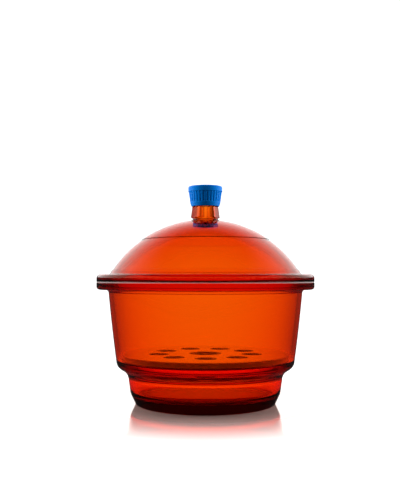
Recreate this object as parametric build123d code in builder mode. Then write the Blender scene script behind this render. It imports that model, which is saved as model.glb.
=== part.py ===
from build123d import *
import os
from math import atan, cos, degrees, sqrt, tan

os.makedirs("parts", exist_ok=True)

# A glass desiccator: a flanged bowl with a narrower chamber for the drying agent
# below a ledge, a perforated plate on the ledge, and a domed lid that is ground
# flat to the bowl's flange. The lid's hollow neck is closed by a screw cap.
# Millimetres, +Z up, origin on the bench at the middle of the foot.

# Bowl
bowl_height = 138.5  # bench to the ground face of the flange
flange_width = 17.8  # inside edge at the ground face to the outside
bowl_flange_thickness = 8.5
mouth_flare = 10.4  # how much wider the bowl is at its mouth than at the ledge
bowl_wall = 5.4
wall_bulge = 0.5  # how far the wall swells from a straight taper
ledge_height = 50.0  # bench to the ledge that carries the plate
shoulder_thickness = 7.2  # ledge down to the outer corner of the shoulder
shoulder_rise = 7.6  # height of the shoulder's sloping underside
floor_thickness = 9.0
plate_seat = 10.4  # how far the plate lies over the ledge
chamber_flare = 6.0  # how much wider the lower chamber is at the ledge than at its floor
chamber_wall = 7.0
foot_inset = 6.0  # how far the foot stands in from the chamber's outside
foot_bevel_height = 12.5
foot_land = 5.5  # width of the ring that touches the bench
punt_depth = 2.0
punt_slope = 6.0  # width of the slope from the foot ring up to the punt

# Lid
lid_flange_thickness = 8.8
mouth_step = 1.3  # how far the lid's mouth stands out from the bowl's
dome_rise = 66.867  # ground face to the top of the dome inside
dome_wall = 5.0
band_height = 5.7  # thickened band at the foot of the dome
band_rise = 0.6
crown_radius = 73.5  # radius of the raised crown around the neck
crown_rise = 0.5

# Neck of the lid, upwards from the crown
waist_shelf = 3.6  # how much wider the waist is than the neck above the collar
waist_height = 1.9  # top of the crown to the underside of the collar
collar_height = 12.8
collar_sides = 6
collar_base_flare = 2.3  # waist to the corners of the collar at its foot
collar_top_shelf = 4.1  # neck to the corners of the collar at its top
collar_turn = 6.0  # degrees that a flat stands round from the front
neck_root_radius = 11.3  # neck between the turns of its thread
neck_height = 18.4  # top of the collar to the rim of the neck
neck_rim_wall = 2.7
neck_root_wall = 1.1  # at the dome, inside the radius of the neck

# Screw thread of the neck and cap, 25 mm across
thread_pitch = 3.5
thread_turns = 2.5
thread_depth = 1.2
thread_base = 1.7  # width of the ridge at its root
thread_crest = 0.7
thread_clearance = 0.4
thread_sink = 0.25  # how deep a ridge is bedded in its wall
thread_start = 4.2  # top of the collar to the middle of the first turn

# Screw cap and sealing disc
cap_gap = 0.6  # top of the collar to the lower edge of the cap
cap_top_thickness = 3.1
cap_wall = 3.2  # at the lower edge
cap_lip_flare = 1.4
cap_skirt_flare = 1.8  # lip up to the band
cap_band_overhang = 0.6
cap_lip_height = 3.8  # conical lip at the lower edge
cap_ring_height = 1.4  # plain ring between the lip and the ribs
cap_band_height = 6.5
cap_band_rounding = 1.8
groove_count = 30
groove_radius = 0.9
groove_depth = 0.55
disc_thickness = 2.5
disc_clearance = 0.6

# Perforated plate
plate_radius = 95.0
plate_thickness = 6.5
plate_clearance = 1.8
centre_hole_radius = 18.5
ring_hole_count = 9
ring_hole_radius = 11.75
ring_hole_circle = 53.5
first_hole_turn = -90.0  # degrees, so that one hole faces the front

# Roundings
foot_rounding = 2.0
bevel_rounding = 12.0
waist_rounding = 14.0
shoulder_rounding = 10.0
flange_root_rounding = 4.0
bowl_flange_rounding = 3.5
lid_flange_rounding = 4.5
seam_rounding = 0.8
mouth_rounding = 1.0
floor_rounding = 8.0
ledge_edge_rounding = 2.0
ledge_corner_rounding = 1.5
dome_foot_rounding = 2.5
step_rounding = 0.2
neck_foot_rounding = 2.0
collar_corner_rounding = 1.2
neck_rim_rounding = 0.8
plate_rounding = 1.5
hole_rounding = 0.8
cap_edge_rounding = 0.4
cap_lip_rounding = 0.8
disc_rounding = 0.3

# Places that follow from the sizes above
wall_foot_radius = plate_radius + plate_clearance
rim_radius = wall_foot_radius + mouth_flare
flange_radius = rim_radius + flange_width
chamber_mouth_radius = plate_radius - plate_seat
floor_radius = chamber_mouth_radius - chamber_flare
floor_height = punt_depth + floor_thickness
shoulder_height = ledge_height - shoulder_thickness
shoulder_root_height = shoulder_height - shoulder_rise
flange_root_height = bowl_height - bowl_flange_thickness
wall_taper = (rim_radius - wall_foot_radius) / (bowl_height - ledge_height)
chamber_taper = (chamber_mouth_radius - floor_radius) / (ledge_height - floor_height)


def wall_outside(height):
    """Outside radius of the bowl's upper wall."""
    return wall_foot_radius + bowl_wall + wall_taper * (height - ledge_height)


def chamber_outside(height):
    """Outside radius of the lower chamber."""
    return floor_radius + chamber_wall + chamber_taper * (height - floor_height)


def round_corner(section, corner, radius):
    """Round the corner of a section that lies at this point."""
    fillet(section.vertices().sort_by_distance(corner)[0], radius)


# Bowl: pressed glass of one section all round
foot_radius = chamber_outside(foot_bevel_height) - foot_inset
foot_inner = (foot_radius - foot_land, 0)
foot_outer = (foot_radius, 0)
bevel_top = (chamber_outside(foot_bevel_height), foot_bevel_height)
shoulder_root = (chamber_outside(shoulder_root_height), shoulder_root_height)
shoulder = (wall_outside(shoulder_height), shoulder_height)
flange_root = (wall_outside(flange_root_height), flange_root_height)
flange_under = (flange_radius, flange_root_height)
flange_seam = (flange_radius, bowl_height)
rim = (rim_radius, bowl_height)
wall_foot = (wall_foot_radius, ledge_height)
chamber_mouth = (chamber_mouth_radius, ledge_height)
chamber_floor = (floor_radius, floor_height)

with BuildPart() as bowl:
    with BuildSketch(Plane.XZ) as bowl_section:
        with BuildLine():
            Polyline(
                (0, floor_height),
                (0, punt_depth),
                (foot_inner[0] - punt_slope, punt_depth),
                foot_inner,
                foot_outer,
                bevel_top,
                shoulder_root,
                shoulder,
            )
            SagittaArc(shoulder, flange_root, -wall_bulge)
            Polyline(flange_root, flange_under, flange_seam, rim)
            SagittaArc(rim, wall_foot, wall_bulge)
            Polyline(wall_foot, chamber_mouth, chamber_floor, (0, floor_height))
        make_face()
        round_corner(bowl_section, foot_inner, foot_rounding)
        round_corner(bowl_section, foot_outer, foot_rounding)
        round_corner(bowl_section, bevel_top, bevel_rounding)
        round_corner(bowl_section, shoulder_root, waist_rounding)
        round_corner(bowl_section, shoulder, shoulder_rounding)
        round_corner(bowl_section, flange_root, flange_root_rounding)
        round_corner(bowl_section, flange_under, bowl_flange_rounding)
        round_corner(bowl_section, flange_seam, seam_rounding)
        round_corner(bowl_section, rim, mouth_rounding)
        round_corner(bowl_section, wall_foot, ledge_corner_rounding)
        round_corner(bowl_section, chamber_mouth, ledge_edge_rounding)
        round_corner(bowl_section, chamber_floor, floor_rounding)
    revolve(axis=Axis.Z)
bowl.part.label = "bowl"
export_step(bowl.part, "parts/bowl.step")

# Perforated plate: glazed porcelain, laid loose on the ledge
with BuildPart() as plate:
    with BuildSketch(Plane.XY.offset(ledge_height)):
        Circle(plate_radius)
    extrude(amount=plate_thickness)
    fillet(plate.edges(), plate_rounding)
    with BuildSketch(Plane.XY.offset(ledge_height)):
        Circle(centre_hole_radius)
        with PolarLocations(ring_hole_circle, ring_hole_count, start_angle=first_hole_turn):
            Circle(ring_hole_radius)
    extrude(amount=plate_thickness, mode=Mode.SUBTRACT)
    hole_rims = plate.edges().filter_by(lambda rim: rim.geom_type == GeomType.CIRCLE)
    fillet(hole_rims.filter_by(lambda rim: rim.radius <= centre_hole_radius), hole_rounding)
plate.part.label = "perforated_plate"
export_step(plate.part, "parts/perforated_plate.step")

# Lid: pressed dome and flange, with a hollow neck, a six-sided collar and a thread
mouth_radius = rim_radius + mouth_step
inside_radius = (mouth_radius**2 + dome_rise**2) / (2 * dome_rise)
dome_radius = inside_radius + dome_wall
dome_middle = bowl_height + dome_rise - inside_radius
lid_flange_top = bowl_height + lid_flange_thickness
band_top = lid_flange_top + band_height
waist_radius = neck_root_radius + waist_shelf
collar_base_radius = waist_radius + collar_base_flare
collar_top_radius = neck_root_radius + collar_top_shelf
bore_mouth_radius = neck_root_radius - neck_rim_wall
bore_root_radius = neck_root_radius - neck_root_wall
collar_low = dome_middle + dome_radius + crown_rise + waist_height
collar_high = collar_low + collar_height
neck_rim = collar_high + neck_height


def on_dome(sphere_radius, radius):
    """Point of the section where a sphere about the dome's middle has this radius."""
    return (radius, dome_middle + sqrt(sphere_radius**2 - radius**2))


def at_height(sphere_radius, height):
    """Point of the section where a sphere about the dome's middle has this height."""
    return (sqrt(sphere_radius**2 - (height - dome_middle) ** 2), height)


band_sphere = dome_radius + band_rise
crown_sphere = dome_radius + crown_rise
lid_seam = (flange_radius, bowl_height)
lid_corner = (flange_radius, lid_flange_top)
band_foot = at_height(band_sphere, lid_flange_top)
band_edge = at_height(band_sphere, band_top)
dome_foot = at_height(dome_radius, band_top)
crown_edge = on_dome(crown_sphere, crown_radius)
crown_foot = on_dome(dome_radius, crown_radius * dome_radius / crown_sphere)
neck_foot = on_dome(crown_sphere, waist_radius)
bore_root = on_dome(inside_radius, bore_root_radius)

with BuildPart() as lid:
    with BuildSketch(Plane.XZ) as lid_section:
        with BuildLine():
            Polyline((0, bowl_height), lid_seam, lid_corner, band_foot)
            RadiusArc(band_foot, band_edge, -band_sphere)
            Line(band_edge, dome_foot)
            RadiusArc(dome_foot, crown_foot, -dome_radius)
            Line(crown_foot, crown_edge)
            RadiusArc(crown_edge, neck_foot, -crown_sphere)
            Polyline(
                neck_foot,
                (waist_radius, collar_low),
                (neck_root_radius, collar_low),
                (neck_root_radius, neck_rim),
                (0, neck_rim),
                (0, bowl_height),
            )
        make_face()
        round_corner(lid_section, lid_seam, seam_rounding)
        round_corner(lid_section, lid_corner, lid_flange_rounding)
        round_corner(lid_section, band_foot, dome_foot_rounding)
        round_corner(lid_section, band_edge, step_rounding)
        round_corner(lid_section, dome_foot, step_rounding)
        round_corner(lid_section, crown_foot, step_rounding)
        round_corner(lid_section, crown_edge, step_rounding)
        round_corner(lid_section, neck_foot, neck_foot_rounding)
        round_corner(lid_section, (neck_root_radius, neck_rim), neck_rim_rounding)
    revolve(axis=Axis.Z)

    with BuildSketch(Plane.XY.offset(collar_low)) as collar_base:
        RegularPolygon(collar_base_radius, collar_sides, rotation=collar_turn)
        fillet(collar_base.vertices(), collar_corner_rounding)
    with BuildSketch(Plane.XY.offset(collar_high)) as collar_top:
        RegularPolygon(collar_top_radius, collar_sides, rotation=collar_turn)
        fillet(collar_top.vertices(), collar_corner_rounding)
    loft()

    with BuildLine() as neck_helix:
        Helix(
            thread_pitch,
            thread_pitch * thread_turns,
            neck_root_radius,
            center=(0, 0, collar_high + thread_start),
        )
    with BuildSketch(Plane(neck_helix.line @ 0, x_dir=(1, 0, 0), z_dir=neck_helix.line % 0)):
        Polygon(
            (-thread_sink, -thread_base / 2),
            (thread_depth, -thread_crest / 2),
            (thread_depth, thread_crest / 2),
            (-thread_sink, thread_base / 2),
            align=None,
        )
    sweep(path=neck_helix.line, is_frenet=True)

    with BuildSketch(Plane.XZ) as lid_inside:
        with BuildLine():
            Polyline(
                bore_root,
                (bore_mouth_radius, neck_rim),
                (0, neck_rim),
                (0, bowl_height),
                (mouth_radius, bowl_height),
            )
            RadiusArc((mouth_radius, bowl_height), bore_root, -inside_radius)
        make_face()
        round_corner(lid_inside, bore_root, neck_foot_rounding)
    revolve(axis=Axis.Z, mode=Mode.SUBTRACT)
lid.part.label = "lid"
export_step(lid.part, "parts/lid.step")

# Sealing disc: silicone rubber, lies in the cap and closes the neck's rim
cap_bore_radius = neck_root_radius + thread_depth + thread_clearance
disc_radius = cap_bore_radius - disc_clearance
ceiling = neck_rim + disc_thickness
with BuildPart() as disc:
    with BuildSketch(Plane.XY.offset(neck_rim)):
        Circle(disc_radius)
    extrude(amount=disc_thickness)
    fillet(disc.edges(), disc_rounding)
disc.part.label = "sealing_disc"
export_step(disc.part, "parts/sealing_disc.step")

# Screw cap: moulded plastic, wider at the top so that it lifts the lid as a knob
cap_mouth_radius = cap_bore_radius + cap_wall
cap_skirt_radius = cap_mouth_radius + cap_lip_flare
cap_shoulder_radius = cap_skirt_radius + cap_skirt_flare
cap_band_radius = cap_shoulder_radius + cap_band_overhang
cap_low = collar_high + cap_gap
cap_high = ceiling + cap_top_thickness
lip_top = cap_low + cap_lip_height
groove_low = lip_top + cap_ring_height
band_low = cap_high - cap_band_height
skirt_tilt = atan((cap_shoulder_radius - cap_skirt_radius) / (band_low - lip_top))
with BuildPart() as cap:
    with BuildSketch(Plane.XZ) as cap_section:
        with BuildLine():
            Polyline(
                (0, ceiling),
                (cap_bore_radius, ceiling),
                (cap_bore_radius, cap_low),
                (cap_mouth_radius, cap_low),
                (cap_skirt_radius, lip_top),
                (cap_shoulder_radius, band_low),
                (cap_band_radius, band_low),
                (cap_band_radius, cap_high),
                (0, cap_high),
                (0, ceiling),
            )
        make_face()
        round_corner(cap_section, (cap_band_radius, cap_high), cap_band_rounding)
        round_corner(cap_section, (cap_band_radius, band_low), cap_edge_rounding)
        round_corner(cap_section, (cap_mouth_radius, cap_low), cap_edge_rounding)
        round_corner(cap_section, (cap_skirt_radius, lip_top), cap_lip_rounding)
    revolve(axis=Axis.Z)

    groove_middle = (groove_low + band_low) / 2
    groove_centre_radius = (
        cap_skirt_radius
        + (groove_middle - lip_top) * tan(skirt_tilt)
        + groove_radius
        - groove_depth
    )
    with Locations((0, 0, groove_middle)):
        with PolarLocations(groove_centre_radius, groove_count):
            Cylinder(
                groove_radius,
                (band_low - groove_low) / cos(skirt_tilt),
                rotation=(0, degrees(skirt_tilt), 0),
                mode=Mode.SUBTRACT,
            )

    with BuildLine() as cap_helix:
        Helix(
            thread_pitch,
            thread_pitch * thread_turns,
            cap_bore_radius,
            center=(0, 0, collar_high + thread_start + thread_pitch / 2),
        )
    with BuildSketch(Plane(cap_helix.line @ 0, x_dir=(1, 0, 0), z_dir=cap_helix.line % 0)):
        Polygon(
            (thread_sink, -thread_base / 2),
            (thread_sink, thread_base / 2),
            (-thread_depth, thread_crest / 2),
            (-thread_depth, -thread_crest / 2),
            align=None,
        )
    sweep(path=cap_helix.line, is_frenet=True)
cap.part.label = "screw_cap"
export_step(cap.part, "parts/screw_cap.step")
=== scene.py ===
from collections import namedtuple
from math import asin, ceil, cos, pi, radians, sin, sqrt, tan

import bmesh
import bpy
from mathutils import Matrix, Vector


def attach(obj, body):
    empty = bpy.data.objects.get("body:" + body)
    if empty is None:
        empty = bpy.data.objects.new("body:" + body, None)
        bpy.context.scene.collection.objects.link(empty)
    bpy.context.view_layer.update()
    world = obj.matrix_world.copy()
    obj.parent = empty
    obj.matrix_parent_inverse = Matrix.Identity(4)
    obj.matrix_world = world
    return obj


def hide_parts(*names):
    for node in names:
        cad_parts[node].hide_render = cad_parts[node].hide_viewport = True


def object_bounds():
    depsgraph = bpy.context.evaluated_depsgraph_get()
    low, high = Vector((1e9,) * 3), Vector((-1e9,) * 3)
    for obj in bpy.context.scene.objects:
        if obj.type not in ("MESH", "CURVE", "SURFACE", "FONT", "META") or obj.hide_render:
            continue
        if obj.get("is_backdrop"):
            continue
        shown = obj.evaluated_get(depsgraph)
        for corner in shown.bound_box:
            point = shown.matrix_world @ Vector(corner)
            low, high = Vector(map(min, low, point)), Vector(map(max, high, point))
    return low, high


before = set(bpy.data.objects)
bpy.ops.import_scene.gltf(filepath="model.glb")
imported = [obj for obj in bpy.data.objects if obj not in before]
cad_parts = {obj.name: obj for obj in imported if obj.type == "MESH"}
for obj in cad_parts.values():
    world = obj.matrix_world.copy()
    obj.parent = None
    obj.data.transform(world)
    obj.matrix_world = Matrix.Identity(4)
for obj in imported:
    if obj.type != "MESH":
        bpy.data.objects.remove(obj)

cad_low, cad_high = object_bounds()
axis = (cad_low + cad_high) / 2

# Studio: the vessel stands on a pale polished table in front of a white backdrop, between
# two upright softboxes. The camera looks at it level with the seam, from under a metre.
camera_distance = 0.83
camera_height = 0.1444
camera_aside = -0.0062
camera_tilt = radians(2.15)
lens_length, sensor_width = 51.49, 36.0
nearest_seen = 0.01
camera = bpy.data.objects.new("camera", bpy.data.cameras.new("camera"))
camera.data.lens = lens_length
camera.data.sensor_width = sensor_width
camera.data.clip_start = nearest_seen
camera.location = (axis.x + camera_aside, axis.y - camera_distance, camera_height)
camera.rotation_euler = (pi / 2 + camera_tilt, 0, 0)
bpy.context.collection.objects.link(camera)
bpy.context.scene.camera = camera
bpy.context.scene.view_settings.view_transform = "Standard"


def adder(tree):
    """A function that adds a node to this tree, sets its properties and fills its inputs."""

    def add(kind, inputs=None, **properties):
        node = tree.nodes.new(kind)
        for key, value in properties.items():
            setattr(node, key, value)
        for key, value in (inputs or {}).items():
            if isinstance(value, bpy.types.NodeSocket):
                tree.links.new(value, node.inputs[key])
            else:
                node.inputs[key].default_value = value
        return node

    return add


def new_material(name):
    """An empty material, and the function that adds nodes to it."""
    material = bpy.data.materials.new(name)
    material.use_nodes = True
    material.node_tree.nodes.clear()
    return material, adder(material.node_tree)


def calculator(add):
    """A function that adds a maths node and gives its result."""
    return lambda operation, *values: add(
        "ShaderNodeMath", dict(enumerate(values)), operation=operation
    ).outputs[0]


def ramp(add, value, start, end, low, high):
    """A smooth change from low to high while a value goes from start to end."""
    limits = {"Value": value, "From Min": start, "From Max": end, "To Min": low, "To Max": high}
    return add("ShaderNodeMapRange", limits, interpolation_type="SMOOTHSTEP").outputs["Result"]


def ray_kinds(add, maths):
    """Shares of a ray that came through glass, was mirrored, or was scattered before."""
    half_a_bounce = 0.5
    ray = add("ShaderNodeLightPath")
    passed = maths("MULTIPLY", ray.outputs["Is Glossy Ray"], ray.outputs["Is Transmission Ray"])
    mirrored = maths("SUBTRACT", ray.outputs["Is Glossy Ray"], passed)
    scattered = maths("GREATER_THAN", ray.outputs["Diffuse Depth"], half_a_bounce)
    return passed, mirrored, scattered


# The backdrop is even to the eye. Through the glass it falls off upwards and to the sides, in
# reflections it is dark near the horizon and high up, and it lights the vessel from behind.
backdrop_brightness = 1.3
dark_share = 0.02
above_start, above_end = radians(20), radians(60)
aside_start, aside_end, aside_share = radians(4), radians(36), 0.6
gloss_start, gloss_end = radians(20), radians(62)
level_start, level_end = radians(3), radians(8)
front_start, back_end = -0.3, 0.6
front_share, back_share = 0.1, 3.0
world = bpy.data.worlds.new("backdrop")
world.use_nodes = True
world.node_tree.nodes.clear()
add = adder(world.node_tree)
maths = calculator(add)
place = add("ShaderNodeTexCoord")
direction = add("ShaderNodeSeparateXYZ", {0: place.outputs["Generated"]})
rise = maths("ARCSINE", direction.outputs["Z"])
azimuth = maths("ABSOLUTE", maths("ARCTAN2", direction.outputs["X"], direction.outputs["Y"]))
passed, mirrored, scattered = ray_kinds(add, maths)
above = ramp(add, rise, above_start, above_end, 0.0, 1.0)
aside = ramp(add, azimuth, aside_start, aside_end, 0.0, aside_share)
dimmed = maths("MULTIPLY", maths("MAXIMUM", above, aside), passed)
overhead = ramp(add, rise, gloss_start, gloss_end, 0.0, 1.0)
level = ramp(add, rise, level_start, level_end, 1.0, 0.0)
unmirrored = maths("MULTIPLY", maths("MAXIMUM", overhead, level), mirrored)
dimming = maths("MULTIPLY", maths("ADD", dimmed, unmirrored), 1.0 - dark_share)
seen = maths("MULTIPLY", maths("SUBTRACT", 1.0, dimming), backdrop_brightness)
from_behind = ramp(add, direction.outputs["Y"], front_start, back_end, front_share, back_share)
lighting = maths("MULTIPLY", from_behind, backdrop_brightness)
strength = add("ShaderNodeMix", {0: scattered, 2: seen, 3: lighting}, data_type="FLOAT")
glow = add("ShaderNodeBackground", {"Strength": strength.outputs[0], "Color": (1, 1, 1, 1)})
add("ShaderNodeOutputWorld", {"Surface": glow.outputs[0]})
bpy.context.scene.world = world

# The softboxes light the vessel from both sides, and don't show in it.
softbox_width, softbox_height = 0.7, 1.1
softbox_distance, softbox_level = 0.95, 0.45
softbox_watts = 16.0
for name, side in (("softbox_left", -1), ("softbox_right", 1)):
    lamp = bpy.data.lights.new(name, "AREA")
    lamp.shape = "RECTANGLE"
    lamp.size, lamp.size_y = softbox_width, softbox_height
    lamp.energy = softbox_watts
    softbox = bpy.data.objects.new(name, lamp)
    softbox.location = (axis.x + side * softbox_distance, axis.y, softbox_level)
    aim = Vector((axis.x, axis.y, axis.z)) - softbox.location
    softbox.rotation_euler = aim.to_track_quat("-Z", "Y").to_euler()
    softbox.visible_glossy = False
    softbox.visible_transmission = False
    bpy.context.collection.objects.link(softbox)

# The table is polished near the vessel and carries a painted pool of amber light there, as if
# cast through the glass, and fades into the backdrop further out. Mirrored and scattered rays find it
# dark.
table_radius, table_sides = 0.5, 96
table_gap = 0.0001
polish_and_painted_light_start, polish_and_painted_light_end, most_polish_and_painted_light = 0.08, 0.27, 0.8
fade_start, fade_end = 0.14, 0.45
paint_roughness, mirror_roughness = 0.6, 0.06
bpy.ops.mesh.primitive_circle_add(
    vertices=table_sides,
    radius=table_radius,
    fill_type="NGON",
    location=(axis.x, axis.y, cad_low.z - table_gap),
)
table = bpy.context.object
table.name = "table"
polished_table, add = new_material("polished_table")
maths = calculator(add)
place = add("ShaderNodeTexCoord")
from_vessel = add("ShaderNodeVectorMath", {0: place.outputs["Object"]}, operation="LENGTH")
nearness = from_vessel.outputs["Value"]
# One ramp sets both the mirror's share and how far the paint turns to painted amber light near the
# vessel.
polish_and_painted_light = ramp(add, nearness, polish_and_painted_light_start, polish_and_painted_light_end, most_polish_and_painted_light, 0.0)
# Painted amber light: the paint turns orange near the vessel, standing in for light cast through the
# glass.
painted_amber_light = add("ShaderNodeMix", {0: polish_and_painted_light}, data_type="RGBA")
painted_amber_light.inputs[6].default_value = (0.93, 0.93, 0.93, 1)
painted_amber_light.inputs[7].default_value = (0.93, 0.5, 0.42, 1)
paint = add("ShaderNodeBsdfPrincipled", {"Base Color": painted_amber_light.outputs[2]})
paint.inputs["Roughness"].default_value = paint_roughness
mirror = add("ShaderNodeBsdfAnisotropic", {"Color": (0.97, 0.9, 0.87, 1)})
mirror.inputs["Roughness"].default_value = mirror_roughness
surface = add("ShaderNodeMixShader", {0: polish_and_painted_light, 1: paint.outputs[0], 2: mirror.outputs[0]})
dark = add("ShaderNodeBsdfDiffuse", {"Color": (0.02, 0.015, 0.015, 1)})
mirrored, scattered = ray_kinds(add, maths)[1:]
hidden = maths("MAXIMUM", mirrored, scattered)
both = add("ShaderNodeMixShader", {0: hidden, 1: surface.outputs[0], 2: dark.outputs[0]})
faded = ramp(add, nearness, fade_start, fade_end, 0.0, 1.0)
clear = add("ShaderNodeBsdfTransparent")
cove = add("ShaderNodeMixShader", {0: faded, 1: both.outputs[0], 2: clear.outputs[0]})
add("ShaderNodeOutputMaterial", {"Surface": cove.outputs[0]})
table.data.materials.append(polished_table)
table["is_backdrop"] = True


# Bowl: one piece of pressed amber glass. Its wide upper chamber ends in a ledge, and below
# that a narrower chamber stands on a bevelled foot. The face of its flange is ground flat.
row_spacing = 0.0035
rounding_step = radians(7)
weld_distance, clean_distance = 1e-6, 1e-7  # points closer than these are one point
Corner = namedtuple("Corner", "radius height rounding swell spacing", defaults=(0, 0, row_spacing))


def swell_of(start, end, sphere_radius):
    """How far an arc of this radius bows out from the straight way between two points."""
    half = (Vector(end) - Vector(start)).length / 2
    return sphere_radius - sqrt(sphere_radius**2 - half**2)


def on_stretch(start, end, swell, share):
    """Point and direction on the way from start to end, which bows to its right by swell."""
    chord = end - start
    along = chord.normalized()
    right = Vector((along.y, -along.x))
    if not swell:
        return start + chord * share, along
    radius = (chord.length_squared / 4 + swell**2) / (2 * swell)
    centre = (start + end) / 2 + right * (swell - radius)
    angle = 2 * asin(chord.length / (2 * radius)) * (share - 0.5)
    point = centre + (right * cos(angle) + along * sin(angle)) * radius
    return point, along * cos(angle) - right * sin(angle)


def outline(corners, closed=False):
    """Points of a section that runs through these corners and is rounded at each."""
    count = len(corners)
    places = [Vector((corner.radius, corner.height)) for corner in corners]
    stretches = [
        (places[number], places[(number + 1) % count], corners[number].swell)
        for number in range(count if closed else count - 1)
    ]

    def cut(number):
        """How much of each stretch beside it a corner's rounding takes."""
        if not corners[number].rounding or (not closed and number in (0, count - 1)):
            return 0.0
        arriving = on_stretch(*stretches[number - 1], 1)[1]
        leaving = on_stretch(*stretches[number], 0)[1]
        return corners[number].rounding * tan(arriving.angle(leaving) / 2)

    points = []
    for number, (start, end, swell) in enumerate(stretches):
        length = (end - start).length
        first = cut(number) / length
        last = 1 - cut((number + 1) % count) / length
        steps = max(1, ceil((last - first) * length / corners[number].spacing))
        for step in range(steps + 1):
            points.append(on_stretch(start, end, swell, first + (last - first) * step / steps)[0])
        corner = corners[(number + 1) % count]
        if not cut((number + 1) % count):
            if closed or number < len(stretches) - 1:
                points.pop()
            continue
        begin, arriving = on_stretch(start, end, swell, last)
        following = stretches[(number + 1) % len(stretches)]
        share = cut((number + 1) % count) / (following[1] - following[0]).length
        finish, leaving = on_stretch(*following, share)
        turn = arriving.angle(leaving)
        reach = corner.rounding * 4 / 3 * tan(turn / 4)
        one, two = begin + arriving * reach, finish - leaving * reach
        steps = max(2, ceil(turn / rounding_step))
        for step in range(1, steps):
            t = step / steps
            s = 1 - t
            points.append(begin * s**3 + one * (3 * t * s * s) + two * (3 * t * t * s) + finish * t**3)
    return points


def section_mesh(name, points, closed, marks=None):
    """Edges through the points of a section, in the XY plane, with a named mark at each."""
    mesh = bpy.data.meshes.new(name)
    edges = [(number, number + 1) for number in range(len(points) - 1)]
    if closed:
        edges.append((len(points) - 1, 0))
    mesh.from_pydata([(point.x, point.y, 0) for point in points], edges, [])
    for mark, values in (marks or {}).items():
        layer = mesh.attributes.new(mark, "FLOAT", "POINT")
        for number, value in enumerate(values):
            layer.data[number].value = value
    return mesh


def start_tree(name, **sizes):
    """A node tree with a mesh and these named sizes as its inputs."""
    tree = bpy.data.node_groups.new(name, "GeometryNodeTree")
    tree.interface.new_socket("Mesh", in_out="INPUT", socket_type="NodeSocketGeometry")
    for size, value in sizes.items():
        kind = "NodeSocketInt" if isinstance(value, int) else "NodeSocketFloat"
        socket = tree.interface.new_socket(size, in_out="INPUT", socket_type=kind)
        socket.default_value = value
    tree.interface.new_socket("Mesh", in_out="OUTPUT", socket_type="NodeSocketGeometry")
    add = adder(tree)
    return tree, add, add("NodeGroupInput").outputs


def end_tree(add, mesh, material):
    """Ends a node tree: the mesh is made real and takes its material."""
    real = add("GeometryNodeRealizeInstances", {0: mesh})
    finished = add("GeometryNodeSetMaterial", {"Geometry": real.outputs[0], "Material": material})
    add("NodeGroupOutput", {0: finished.outputs[0]})


def turn_section(add, section, sides, circle):
    """Turns a section in the XY plane about the vertical axis, by a sweep round a small circle."""
    line = add("GeometryNodeMeshToCurve", {"Mesh": section})
    place = add("GeometryNodeInputPosition")
    parts = add("ShaderNodeSeparateXYZ", {0: place.outputs[0]})
    across = add("ShaderNodeMath", {0: parts.outputs["X"], 1: circle}, operation="SUBTRACT")
    down = add("ShaderNodeMath", {0: parts.outputs["Y"], 1: -1.0}, operation="MULTIPLY")
    laid = add("ShaderNodeCombineXYZ", {"X": across.outputs[0], "Y": down.outputs[0]})
    moved = add("GeometryNodeSetPosition", {"Geometry": line.outputs[0], "Position": laid.outputs[0]})
    way = add("GeometryNodeCurvePrimitiveCircle", {"Resolution": sides, "Radius": circle})
    swept = add("GeometryNodeCurveToMesh", {"Curve": way.outputs[0], "Profile Curve": moved.outputs[0]})
    merged = add("GeometryNodeMergeByDistance", {"Geometry": swept.outputs[0]})
    merged.inputs["Distance"].default_value = weld_distance
    return merged.outputs[0]


def made_by(tree, name, mesh, **sizes):
    """A plain closed mesh, made by this node tree from a starting mesh and named sizes."""
    piece = bpy.data.objects.new(name, mesh)
    bpy.context.collection.objects.link(piece)
    maker = piece.modifiers.new("maker", "NODES")
    maker.node_group = tree
    for socket in tree.interface.items_tree:
        if socket.name in sizes:
            maker[socket.identifier] = sizes[socket.name]
    evaluated = piece.evaluated_get(bpy.context.evaluated_depsgraph_get())
    made = bpy.data.meshes.new_from_object(evaluated)
    piece.modifiers.remove(maker)
    piece.data = made
    made.name = name
    work = bmesh.new()
    work.from_mesh(made)
    bmesh.ops.remove_doubles(work, verts=work.verts, dist=clean_distance)
    bmesh.ops.recalc_face_normals(work, faces=work.faces)
    for face in work.faces:
        face.smooth = True
    work.to_mesh(made)
    work.free()
    return piece


def finish_piece(piece, body):
    """The piece rides on its CAD body and stands for its CAD node, which it hides."""
    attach(piece, body)
    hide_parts(piece.name.removeprefix("clear_"))


ground_reach = 0.0006
clear_roughness, ground_roughness = 0.012, 0.42
ground_clearness = 0.8
ripple_scale, ripple_height = 22.0, 0.0012


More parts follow.
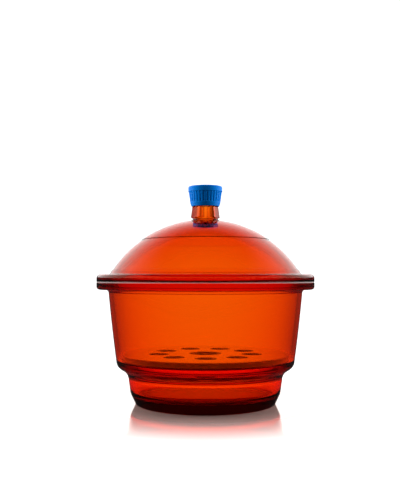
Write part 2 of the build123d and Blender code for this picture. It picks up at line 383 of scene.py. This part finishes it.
def amber_glass(name, ground_height):
    """Clear amber glass, coloured right through, and ground dull on the face at this height."""
    material, add = new_material(name)
    place = add("ShaderNodeTexCoord")
    height = add("ShaderNodeSeparateXYZ", {0: place.outputs["Object"]})
    maths = calculator(add)
    distance = maths("ABSOLUTE", maths("ADD", height.outputs["Z"], -ground_height))
    ground = maths("LESS_THAN", distance, ground_reach)
    dull = add("ShaderNodeMapRange", {"Value": ground})
    dull.inputs["To Min"].default_value = clear_roughness
    dull.inputs["To Max"].default_value = ground_roughness
    clearness = add("ShaderNodeMapRange", {"Value": ground})
    clearness.inputs["To Min"].default_value = 1.0
    clearness.inputs["To Max"].default_value = ground_clearness
    waves = add("ShaderNodeTexNoise", {"Vector": place.outputs["Object"]})
    waves.inputs["Scale"].default_value = ripple_scale
    waves.inputs["Detail"].default_value = 1.5
    ripple = add("ShaderNodeBump", {"Height": waves.outputs[0], "Distance": ripple_height})
    ripple.inputs["Strength"].default_value = 0.05
    glass = add("ShaderNodeBsdfPrincipled", {"Roughness": dull.outputs[0], "IOR": 1.5})
    glass.id_data.links.new(clearness.outputs[0], glass.inputs["Transmission Weight"])
    glass.id_data.links.new(ripple.outputs[0], glass.inputs["Normal"])
    glass.inputs["Base Color"].default_value = (1.0, 1.0, 1.0, 1)
    glass.inputs["Specular Tint"].default_value = (1.0, 0.3, 0.03, 1)
    tint = add("ShaderNodeVolumeAbsorption")
    tint.inputs["Color"].default_value = (0.961, 0.635, 0.0, 1)
    tint.inputs["Density"].default_value = 700.0
    add("ShaderNodeOutputMaterial", {"Surface": glass.outputs[0], "Volume": tint.outputs[0]})
    return material


plate_radius, plate_clearance, plate_seat = 0.095, 0.0018, 0.0104
mouth_flare, flange_width, flange_thickness = 0.0104, 0.0178, 0.0085
shoulder_thickness, shoulder_rise = 0.0072, 0.0076
chamber_flare, floor_thickness = 0.006, 0.009
foot_inset, foot_land, punt_slope = 0.006, 0.0055, 0.006
seam_height, seam_gap = 0.1385, 0.00005  # each ground face stands this far from the seam
bowl_seam = seam_height - seam_gap
ledge_height = 0.05
wall_foot = plate_radius + plate_clearance
rim_radius = wall_foot + mouth_flare
flange_radius = rim_radius + flange_width
flange_root, flange_under = 0.1116, seam_height - flange_thickness
chamber_mouth = plate_radius - plate_seat
chamber_foot = chamber_mouth - chamber_flare
punt_height = 0.002
floor_height = punt_height + floor_thickness
shoulder_radius, shoulder_height = 0.10135, ledge_height - shoulder_thickness
waist_radius, waist_height = 0.08932, shoulder_height - shoulder_rise
bevel_radius, bevel_height = 0.08583, 0.0125
foot_outside = bevel_radius - foot_inset
foot_inside = foot_outside - foot_land
punt_edge = foot_inside - punt_slope
wall_swell = 0.0005
foot_rounding, bevel_rounding, waist_rounding, shoulder_rounding = 0.002, 0.012, 0.014, 0.01
root_rounding, flange_rounding, seam_rounding, mouth_rounding = 0.004, 0.0035, 0.0008, 0.001
ledge_corner, ledge_edge, floor_rounding = 0.0015, 0.002, 0.008
bowl_sides = 320
sweep_circle = 0.1
bowl_corners = [
    Corner(0, punt_height),
    Corner(punt_edge, punt_height),
    Corner(foot_inside, 0, foot_rounding),
    Corner(foot_outside, 0, foot_rounding),
    Corner(bevel_radius, bevel_height, bevel_rounding),
    Corner(waist_radius, waist_height, waist_rounding),
    Corner(shoulder_radius, shoulder_height, shoulder_rounding, wall_swell),
    Corner(flange_root, flange_under, root_rounding),
    Corner(flange_radius, flange_under, flange_rounding),
    Corner(flange_radius, bowl_seam, seam_rounding),
    Corner(rim_radius, bowl_seam, mouth_rounding, -wall_swell),
    Corner(wall_foot, ledge_height, ledge_corner),
    Corner(chamber_mouth, ledge_height, ledge_edge),
    Corner(chamber_foot, floor_height, floor_rounding),
    Corner(0, floor_height),
]
bowl_glass = amber_glass("bowl_amber_glass", bowl_seam)
tree, add, given = start_tree("bowl_maker", Sides=bowl_sides, Circle=sweep_circle)
end_tree(add, turn_section(add, given["Mesh"], given["Sides"], given["Circle"]), bowl_glass)
bowl_line = section_mesh("bowl_section", outline(bowl_corners), False)
bowl = made_by(tree, "clear_bowl", bowl_line, Sides=bowl_sides, Circle=sweep_circle)
finish_piece(bowl, "bowl")


# Perforated plate: glazed porcelain, laid loose on the bowl's ledge. Nine round holes stand
# about a wider one, and every rim is rounded over.
plate_lift = 0.00005
plate_thickness = 0.0065
plate_low, plate_high = ledge_height + plate_lift, ledge_height + plate_thickness
plate_rounding = 0.0015
centre_hole, ring_hole = 0.0185, 0.01175
hole_rounding = 0.0008
ring_of_holes = 0.0535
ring_count = 9
first_hole_turn = radians(-90)
plate_sides, hole_sides = 240, 72
plate_weld = 0.00002
curve_share = 0.999  # of a full rounding, so that a sliver of wall is left before the face
rim_kind, centre_kind, ring_kind = 0, 1, 2
mottle_scale, peel_scale, peel_height = 60.0, 260.0, 0.0002

porcelain, add = new_material("porcelain")
place = add("ShaderNodeTexCoord")
mottle = add("ShaderNodeTexNoise", {"Vector": place.outputs["Object"]})
mottle.inputs["Scale"].default_value = mottle_scale
mottle.inputs["Detail"].default_value = 3.0
shade = add("ShaderNodeMix", {0: mottle.outputs[0]}, data_type="RGBA")
shade.inputs[6].default_value = (0.86, 0.84, 0.8, 1)
shade.inputs[7].default_value = (0.9, 0.89, 0.86, 1)
orange_peel = add("ShaderNodeTexNoise", {"Vector": place.outputs["Object"]})
orange_peel.inputs["Scale"].default_value = peel_scale
orange_peel.inputs["Detail"].default_value = 2.0
skin = add("ShaderNodeBump", {"Height": orange_peel.outputs[0], "Distance": peel_height})
skin.inputs["Strength"].default_value = 0.1
glaze = add("ShaderNodeBsdfPrincipled", {"Base Color": shade.outputs[2], "Normal": skin.outputs[0]})
glaze.inputs["Roughness"].default_value = 0.12
glaze.inputs["Coat Weight"].default_value = 1.0
add("ShaderNodeOutputMaterial", {"Surface": glaze.outputs[0]})


def wall_line(radius, rounding, outward):
    """The plate's wall, rounded over at both faces. Outward is 1 at the rim and -1 in a hole."""
    inset = radius - outward * rounding
    return outline(
        [
            Corner(inset, plate_low),
            Corner(inset + outward * rounding, plate_low, rounding * curve_share),
            Corner(radius, plate_high, rounding * curve_share),
            Corner(inset, plate_high),
        ]
    )


def plate_lines():
    """The three kinds of wall of the plate, each marked with its kind."""
    mesh = bpy.data.meshes.new("plate_lines")
    places, edges, kinds = [], [], []
    for kind, radius, rounding, outward in (
        (rim_kind, plate_radius, plate_rounding, 1),
        (centre_kind, centre_hole, hole_rounding, -1),
        (ring_kind, ring_hole, hole_rounding, -1),
    ):
        first = len(places)
        line = wall_line(radius, rounding, outward)
        places += [(point.x, point.y, 0) for point in line]
        edges += [(first + number, first + number + 1) for number in range(len(line) - 1)]
        kinds += [kind] * len(line)
    mesh.from_pydata(places, edges, [])
    mark = mesh.attributes.new("kind", "INT", "POINT")
    for number, kind in enumerate(kinds):
        mark.data[number].value = kind
    return mesh


sizes = dict(
    Rim=plate_radius,
    RimSides=plate_sides,
    RimRounding=plate_rounding,
    CentreHole=centre_hole,
    RingHole=ring_hole,
    HoleSides=hole_sides,
    HoleRounding=hole_rounding,
    Holes=ring_count,
    Ring=ring_of_holes,
    Low=plate_low,
    High=plate_high,
)
tree, add, given = start_tree("plate_maker", **sizes)
kind = add("GeometryNodeInputNamedAttribute", {"Name": "kind"}, data_type="INT")


def walls_of(number, sides, radius):
    """The wall whose line has this kind, turned about the vertical axis."""
    chosen = add("FunctionNodeCompare", {2: kind.outputs[0]}, data_type="INT", operation="EQUAL")
    chosen.inputs[3].default_value = number
    wanted = {"Geometry": given["Mesh"], "Selection": chosen.outputs[0]}
    line = add("GeometryNodeSeparateGeometry", wanted)
    return turn_section(add, line.outputs[0], sides, radius)


centres = add("GeometryNodeMeshCircle", {"Vertices": given["Holes"], "Radius": given["Ring"]})
ring = add("GeometryNodeTransform", {"Geometry": centres.outputs[0]})
ring.inputs["Rotation"].default_value = (0, 0, first_hole_turn)


def at_each_hole(geometry):
    """A copy of this geometry at every place of the ring."""
    copies = add("GeometryNodeInstanceOnPoints", {"Points": ring.outputs[0], "Instance": geometry})
    return add("GeometryNodeRealizeInstances", {0: copies.outputs[0]}).outputs[0]


def circle_of(sides, radius):
    """A circle in the XY plane."""
    return add("GeometryNodeCurvePrimitiveCircle", {"Resolution": sides, "Radius": radius}).outputs[0]


def face_at(height):
    """A flat face of the plate, with all of its holes."""
    maths = calculator(add)
    rim_edge = maths("SUBTRACT", given["Rim"], given["RimRounding"])
    centre_edge = maths("ADD", given["CentreHole"], given["HoleRounding"])
    ring_edge = maths("ADD", given["RingHole"], given["HoleRounding"])
    lines = add("GeometryNodeJoinGeometry")
    for part in (
        circle_of(given["RimSides"], rim_edge),
        circle_of(given["HoleSides"], centre_edge),
        at_each_hole(circle_of(given["HoleSides"], ring_edge)),
    ):
        tree.links.new(part, lines.inputs[0])
    filled = add("GeometryNodeFillCurve", {"Curve": lines.outputs[0]})
    lift = add("ShaderNodeCombineXYZ", {"Z": height})
    lifted = {"Geometry": filled.outputs[0], "Translation": lift.outputs[0]}
    return add("GeometryNodeTransform", lifted).outputs[0]


whole = add("GeometryNodeJoinGeometry")
for part in (
    walls_of(rim_kind, given["RimSides"], given["Rim"]),
    walls_of(centre_kind, given["HoleSides"], given["CentreHole"]),
    at_each_hole(walls_of(ring_kind, given["HoleSides"], given["RingHole"])),
    face_at(given["Low"]),
    face_at(given["High"]),
):
    tree.links.new(part, whole.inputs[0])
welded = add("GeometryNodeMergeByDistance", {"Geometry": whole.outputs[0], "Distance": plate_weld})
end_tree(add, welded.outputs[0], porcelain)
plate = made_by(tree, "clear_perforated_plate", plate_lines(), **sizes)
finish_piece(plate, "plate")


# Lid: a pressed dome with a raised crown, ground flat under its flange. Its hollow neck carries
# a six-sided collar to grip it by, and above that the thread for the screw cap.
lid_seam = seam_height + seam_gap
mouth_step, lid_flange_thickness, band_height = 0.0013, 0.0088, 0.0057
mouth_radius = rim_radius + mouth_step
lid_flange_top = seam_height + lid_flange_thickness
band_top = lid_flange_top + band_height
dome_rise = 0.066867  # seam to the top of the dome inside
inside_sphere = 0.121461
dome_middle = seam_height + dome_rise - inside_sphere
dome_wall, band_rise, crown_rise = 0.005, 0.0006, 0.0005
dome_sphere = inside_sphere + dome_wall
band_sphere, crown_sphere = dome_sphere + band_rise, dome_sphere + crown_rise
crown_radius = 0.0735
collar_lift, collar_height, neck_height = 0.0019, 0.0128, 0.0184
collar_low = dome_middle + crown_sphere + collar_lift
collar_high = collar_low + collar_height
neck_rim = collar_high + neck_height
neck_radius = 0.0113
waist_shelf, collar_flare, collar_shelf = 0.0036, 0.0023, 0.0041
neck_waist = neck_radius + waist_shelf
collar_base, collar_top = neck_waist + collar_flare, neck_radius + collar_shelf
rim_wall, root_wall = 0.0027, 0.0011
bore_mouth, bore_root = neck_radius - rim_wall, neck_radius - root_wall
lid_flange_rounding, band_rounding, step_rounding, neck_foot_rounding = 0.0045, 0.0025, 0.0002, 0.002
collar_foot_rounding, collar_top_rounding, neck_root_rounding = 0.0007, 0.0005, 0.0003
neck_rim_rounding, bore_rim_rounding, bore_foot_rounding = 0.0008, 0.0004, 0.002
waist_row, shelf_row, collar_row, thread_row = 0.001, 0.0014, 0.0012, 0.0003
lid_sides = 288


def on_sphere(sphere, radius):
    """Point of the section on a sphere about the dome's middle, at this radius."""
    return radius, dome_middle + sqrt(sphere**2 - radius**2)


def at_level(sphere, height):
    """Point of the section on a sphere about the dome's middle, at this height."""
    return sqrt(sphere**2 - (height - dome_middle) ** 2), height


def bowed(start, end, sphere, rounding=0.0, way=1):
    """Corner at start, on an arc of this sphere that leads to end."""
    return Corner(*start, rounding, way * swell_of(start, end, sphere))


band_foot, band_edge = at_level(band_sphere, lid_flange_top), at_level(band_sphere, band_top)
dome_foot = at_level(dome_sphere, band_top)
crown_foot = on_sphere(dome_sphere, crown_radius * dome_sphere / crown_sphere)
crown_edge = on_sphere(crown_sphere, crown_radius)
neck_foot = on_sphere(crown_sphere, neck_waist)
bore_foot = on_sphere(inside_sphere, bore_root)
mouth = (mouth_radius, lid_seam)
lid_corners = [
    Corner(mouth_radius, lid_seam),
    Corner(flange_radius, lid_seam, seam_rounding),
    Corner(flange_radius, lid_flange_top, lid_flange_rounding),
    bowed(band_foot, band_edge, band_sphere, band_rounding),
    Corner(*band_edge, step_rounding),
    bowed(dome_foot, crown_foot, dome_sphere, step_rounding),
    Corner(*crown_foot, step_rounding),
    bowed(crown_edge, neck_foot, crown_sphere, step_rounding),
    Corner(*neck_foot, neck_foot_rounding),
    Corner(neck_waist, collar_low, spacing=waist_row),
    Corner(collar_base, collar_low, collar_foot_rounding, spacing=shelf_row),
    Corner(collar_top, collar_high, collar_top_rounding, spacing=collar_row),
    Corner(neck_radius, collar_high, neck_root_rounding, spacing=thread_row),
    Corner(neck_radius, neck_rim, neck_rim_rounding),
    Corner(bore_mouth, neck_rim, bore_rim_rounding),
    bowed(bore_foot, mouth, inside_sphere, bore_foot_rounding, way=-1),
]
level_slack, wall_slack = 1e-7, 0.00001


def collar_share(point):
    """How far the collar's six flats reach into this point of the section, from 0 to 1."""
    level_with_collar = collar_low - level_slack <= point.y <= collar_high + level_slack
    if not level_with_collar or point.x < neck_radius:
        return 0.0
    rise = (point.y - collar_low) / (collar_high - collar_low)
    edge = collar_base + (collar_top - collar_base) * rise
    inner = neck_waist if rise < 0.5 else neck_radius
    return min(1.0, max(0.0, (point.x - inner) / (edge - inner)))


def thread_share(point, radius):
    """1 where the section's wall carries the thread, and 0 elsewhere."""
    return float(abs(point.x - radius) < wall_slack and collar_high < point.y < neck_rim)


def from_axis(add, maths):
    """Each point's height, radius, share of a turn and way outwards from the axis."""
    place = add("GeometryNodeInputPosition")
    parts = add("ShaderNodeSeparateXYZ", {0: place.outputs[0]})
    flat = add("ShaderNodeCombineXYZ", {"X": parts.outputs["X"], "Y": parts.outputs["Y"]})
    radius = add("ShaderNodeVectorMath", {0: flat.outputs[0]}, operation="LENGTH")
    angle = maths("ARCTAN2", parts.outputs["Y"], parts.outputs["X"])
    share = maths("FRACT", maths("MULTIPLY", angle, 1 / (2 * pi)))
    outward = add("ShaderNodeVectorMath", {0: flat.outputs[0]}, operation="NORMALIZE")
    return parts.outputs["Z"], radius.outputs["Value"], share, outward.outputs[0]


def moved_out(add, mesh, outward, distance):
    """The mesh with its points moved this distance away from the axis."""
    offset = add("ShaderNodeVectorMath", {0: outward}, operation="SCALE")
    offset.id_data.links.new(distance, offset.inputs["Scale"])
    return add("GeometryNodeSetPosition", {"Geometry": mesh, "Offset": offset.outputs[0]}).outputs[0]


def mark_of(add, name):
    """The value of a named mark that came with the section."""
    return add("GeometryNodeInputNamedAttribute", {"Name": name}, data_type="FLOAT").outputs[0]


thread_runout = 0.05  # of a turn, over which the ridge rises and ends
half_flat = pi / 6
flat_angle, corner_sharpness = -84.0, 60.0


def with_thread(add, given, mesh, direction):
    """Raises a right-hand thread on the marked wall, outwards for 1 and inwards for -1."""
    maths = calculator(add)
    height, radius, turn, outward = from_axis(add, maths)
    climbed = maths("DIVIDE", maths("SUBTRACT", height, given["Start"]), given["Pitch"])
    phase = maths("SUBTRACT", climbed, turn)
    nearest = maths("ROUND", phase)
    off = maths("ABSOLUTE", maths("SUBTRACT", phase, nearest))
    ridge = add("ShaderNodeMapRange", {"Value": maths("MULTIPLY", off, given["Pitch"])})
    ridge.id_data.links.new(maths("MULTIPLY", given["Crest"], 0.5), ridge.inputs["From Min"])
    ridge.id_data.links.new(maths("MULTIPLY", given["Base"], 0.5), ridge.inputs["From Max"])
    ridge.inputs["To Min"].default_value = 1.0
    ridge.inputs["To Max"].default_value = 0.0
    along = maths("ADD", nearest, turn)
    left = maths("SUBTRACT", given["Turns"], along)
    begun = add("ShaderNodeMapRange", {"Value": along, "From Max": thread_runout})
    unfinished = add("ShaderNodeMapRange", {"Value": left, "From Max": thread_runout})
    raised = maths("MULTIPLY", ridge.outputs[0], maths("MULTIPLY", given["Depth"], direction))
    marked = maths("MULTIPLY", raised, mark_of(add, "thread"))
    distance = maths("MULTIPLY", marked, maths("MULTIPLY", begun.outputs[0], unfinished.outputs[0]))
    return moved_out(add, mesh, outward, distance)


def with_flats(add, given, mesh):
    """Draws the marked collar in to six flats, whose corners stay a little rounded."""
    maths = calculator(add)
    height, radius, turn, outward = from_axis(add, maths)
    angle = maths("SUBTRACT", maths("MULTIPLY", turn, 2 * pi), maths("RADIANS", given["FlatAngle"]))
    from_flat = maths("ABSOLUTE", maths("WRAP", angle, half_flat, -half_flat))
    from_next = maths("SUBTRACT", 2 * half_flat, from_flat)
    near = maths("POWER", maths("COSINE", from_flat), given["Sharpness"])
    far = maths("POWER", maths("COSINE", from_next), given["Sharpness"])
    edge = maths("POWER", maths("ADD", near, far), maths("DIVIDE", 1.0, given["Sharpness"]))
    drawn = maths("SUBTRACT", maths("DIVIDE", cos(half_flat), edge), 1.0)
    distance = maths("MULTIPLY", maths("MULTIPLY", drawn, mark_of(add, "collar")), radius)
    return moved_out(add, mesh, outward, distance)


thread_start = 0.0042
neck_start = collar_high + thread_start
thread = dict(Pitch=0.0035, Turns=2.5, Depth=0.0012, Base=0.0017, Crest=0.0007)
lid_points = outline(lid_corners, closed=True)
lid_marks = {
    "collar": [collar_share(point) for point in lid_points],
    "thread": [thread_share(point, neck_radius) for point in lid_points],
}
sizes = dict(
    Sides=lid_sides,
    Circle=sweep_circle,
    Start=neck_start,
    FlatAngle=flat_angle,
    Sharpness=corner_sharpness,
    **thread,
)
tree, add, given = start_tree("lid_maker", **sizes)
turned = turn_section(add, given["Mesh"], given["Sides"], given["Circle"])
threaded = with_thread(add, given, turned, 1.0)
end_tree(add, with_flats(add, given, threaded), amber_glass("lid_amber_glass", lid_seam))
lid_line = section_mesh("lid_section", lid_points, True, lid_marks)
lid = made_by(tree, "clear_lid", lid_line, **sizes)
finish_piece(lid, "lid")


# Sealing disc: translucent silicone rubber, which lies in the cap's top and closes the neck.
# It keeps a hair's breadth from both, so that no two faces of different pieces share a plane.
disc_gap = 0.00003
disc_thickness = 0.0025
thread_clearance, disc_clearance = 0.0004, 0.0006
cap_ceiling = neck_rim + disc_thickness
cap_bore = neck_radius + thread["Depth"] + thread_clearance
disc_low, disc_high = neck_rim + disc_gap, cap_ceiling - disc_gap
disc_radius = cap_bore - disc_clearance
disc_rounding = 0.0003
disc_sides = 96
cloud_scale = 180.0
silicone, add = new_material("silicone")
place = add("ShaderNodeTexCoord")
cloud = add("ShaderNodeTexNoise", {"Vector": place.outputs["Object"]})
cloud.inputs["Scale"].default_value = cloud_scale
cloud.inputs["Detail"].default_value = 2.0
tone = add("ShaderNodeMix", {0: cloud.outputs[0]}, data_type="RGBA")
tone.inputs[6].default_value = (0.82, 0.8, 0.76, 1)
tone.inputs[7].default_value = (0.9, 0.88, 0.84, 1)
rubber = add("ShaderNodeBsdfPrincipled", {"Base Color": tone.outputs[2]})
rubber.inputs["Roughness"].default_value = 0.5
rubber.inputs["Subsurface Weight"].default_value = 0.2
rubber.inputs["Subsurface Radius"].default_value = (0.004, 0.003, 0.002)
add("ShaderNodeOutputMaterial", {"Surface": rubber.outputs[0]})

disc_corners = [
    Corner(0, disc_low),
    Corner(disc_radius, disc_low, disc_rounding),
    Corner(disc_radius, disc_high, disc_rounding),
    Corner(0, disc_high),
]
tree, add, given = start_tree("disc_maker", Sides=disc_sides, Circle=sweep_circle)
end_tree(add, turn_section(add, given["Mesh"], given["Sides"], given["Circle"]), silicone)
disc_line = section_mesh("disc_section", outline(disc_corners), False)
disc = made_by(tree, "clear_sealing_disc", disc_line, Sides=disc_sides, Circle=sweep_circle)
finish_piece(disc, "disc")


# Screw cap: blue moulded plastic, wider towards its plain top band, with thirty grooves down
# the skirt and a conical lip. Its inside carries the thread that runs on the neck's.
cap_gap, lip_height, ring_height, top_band = 0.0006, 0.0038, 0.0014, 0.0065
cap_roof, box_gap = 0.0031, 0.000007  # the top stays a hair inside the cap's own box
cap_low = collar_high + cap_gap
lip_top = cap_low + lip_height
groove_low = lip_top + ring_height
band_low = cap_ceiling + cap_roof - top_band
cap_top = cap_ceiling + cap_roof - box_gap
cap_wall, lip_flare, skirt_flare, band_overhang = 0.0032, 0.0014, 0.0018, 0.0006
cap_mouth = cap_bore + cap_wall
cap_skirt = cap_mouth + lip_flare
cap_shoulder = cap_skirt + skirt_flare
cap_band = cap_shoulder + band_overhang
cap_edge_rounding, lip_rounding, band_edge_rounding, cap_top_rounding = 0.0004, 0.0008, 0.0003, 0.0018
skirt_row = 0.0005
skirt_depth, groove_stop = 0.0002, 0.0001
groove_count, groove_radius, groove_depth = 30, 0.0009, 0.00055
cap_sides = 600
flow_scale, grain_scale, grain_height = 90.0, 900.0, 0.0001
blue_plastic, add = new_material("blue_plastic")
place = add("ShaderNodeTexCoord")
flow = add("ShaderNodeTexNoise", {"Vector": place.outputs["Object"]})
flow.inputs["Scale"].default_value = flow_scale
flow.inputs["Detail"].default_value = 2.0
tone = add("ShaderNodeMix", {0: flow.outputs[0]}, data_type="RGBA")
tone.inputs[6].default_value = (0.0, 0.125, 0.48, 1)
tone.inputs[7].default_value = (0.0, 0.145, 0.53, 1)
grain = add("ShaderNodeTexNoise", {"Vector": place.outputs["Object"]})
grain.inputs["Scale"].default_value = grain_scale
grain.inputs["Detail"].default_value = 2.0
skin = add("ShaderNodeBump", {"Height": grain.outputs[0], "Distance": grain_height})
skin.inputs["Strength"].default_value = 0.15
moulded = add("ShaderNodeBsdfPrincipled", {"Base Color": tone.outputs[2], "Normal": skin.outputs[0]})
moulded.inputs["Roughness"].default_value = 0.34
moulded.inputs["Specular IOR Level"].default_value = 0.15
moulded.inputs["Specular Tint"].default_value = (0.05, 0.5, 1.0, 1)
add("ShaderNodeOutputMaterial", {"Surface": moulded.outputs[0]})

cap_corners = [
    Corner(0, cap_ceiling),
    Corner(cap_bore, cap_ceiling, spacing=thread_row),
    Corner(cap_bore, cap_low),
    Corner(cap_mouth, cap_low, cap_edge_rounding),
    Corner(cap_skirt, lip_top, lip_rounding, spacing=skirt_row),
    Corner(cap_shoulder, band_low),
    Corner(cap_band, band_low, band_edge_rounding),
    Corner(cap_band, cap_top, cap_top_rounding),
    Corner(0, cap_top),
]


def groove_share(point):
    """1 where the section's skirt is grooved, and 0 elsewhere."""
    return float(point.x > cap_skirt - skirt_depth and groove_low < point.y < band_low - groove_stop)


def with_grooves(add, given, mesh):
    """Scoops upright grooves into the marked skirt."""
    maths = calculator(add)
    height, radius, turn, outward = from_axis(add, maths)
    step = maths("MULTIPLY", turn, given["Grooves"])
    off = maths("ABSOLUTE", maths("SUBTRACT", step, maths("ROUND", step)))
    arc = maths("MULTIPLY", maths("MULTIPLY", off, 2 * pi), maths("DIVIDE", radius, given["Grooves"]))
    wide, near = maths("POWER", given["GrooveRadius"], 2.0), maths("POWER", arc, 2.0)
    scoop = maths("SQRT", maths("MAXIMUM", maths("SUBTRACT", wide, near), 0.0))
    uncut = maths("SUBTRACT", given["GrooveRadius"], given["GrooveDepth"])
    depth = maths("MAXIMUM", maths("SUBTRACT", scoop, uncut), 0.0)
    distance = maths("MULTIPLY", maths("MULTIPLY", depth, mark_of(add, "groove")), -1.0)
    return moved_out(add, mesh, outward, distance)


cap_points = outline(cap_corners)
cap_marks = {
    "thread": [thread_share(point, cap_bore) for point in cap_points],
    "groove": [groove_share(point) for point in cap_points],
}
cap_start = neck_start + thread["Pitch"] / 2
sizes = dict(
    Sides=cap_sides,
    Circle=sweep_circle,
    Start=cap_start,
    Grooves=groove_count,
    GrooveRadius=groove_radius,
    GrooveDepth=groove_depth,
    **thread,
)
tree, add, given = start_tree("cap_maker", **sizes)
turned = turn_section(add, given["Mesh"], given["Sides"], given["Circle"])
threaded = with_thread(add, given, turned, -1.0)
end_tree(add, with_grooves(add, given, threaded), blue_plastic)
cap_line = section_mesh("cap_section", cap_points, False, cap_marks)
cap = made_by(tree, "clear_screw_cap", cap_line, **sizes)
finish_piece(cap, "cap")


# Size of the whole, as the CAD has it and as it is shown.
shown_low, shown_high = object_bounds()
sizes = {"cad": [list(cad_low), list(cad_high)], "shown": [list(shown_low), list(shown_high)]}
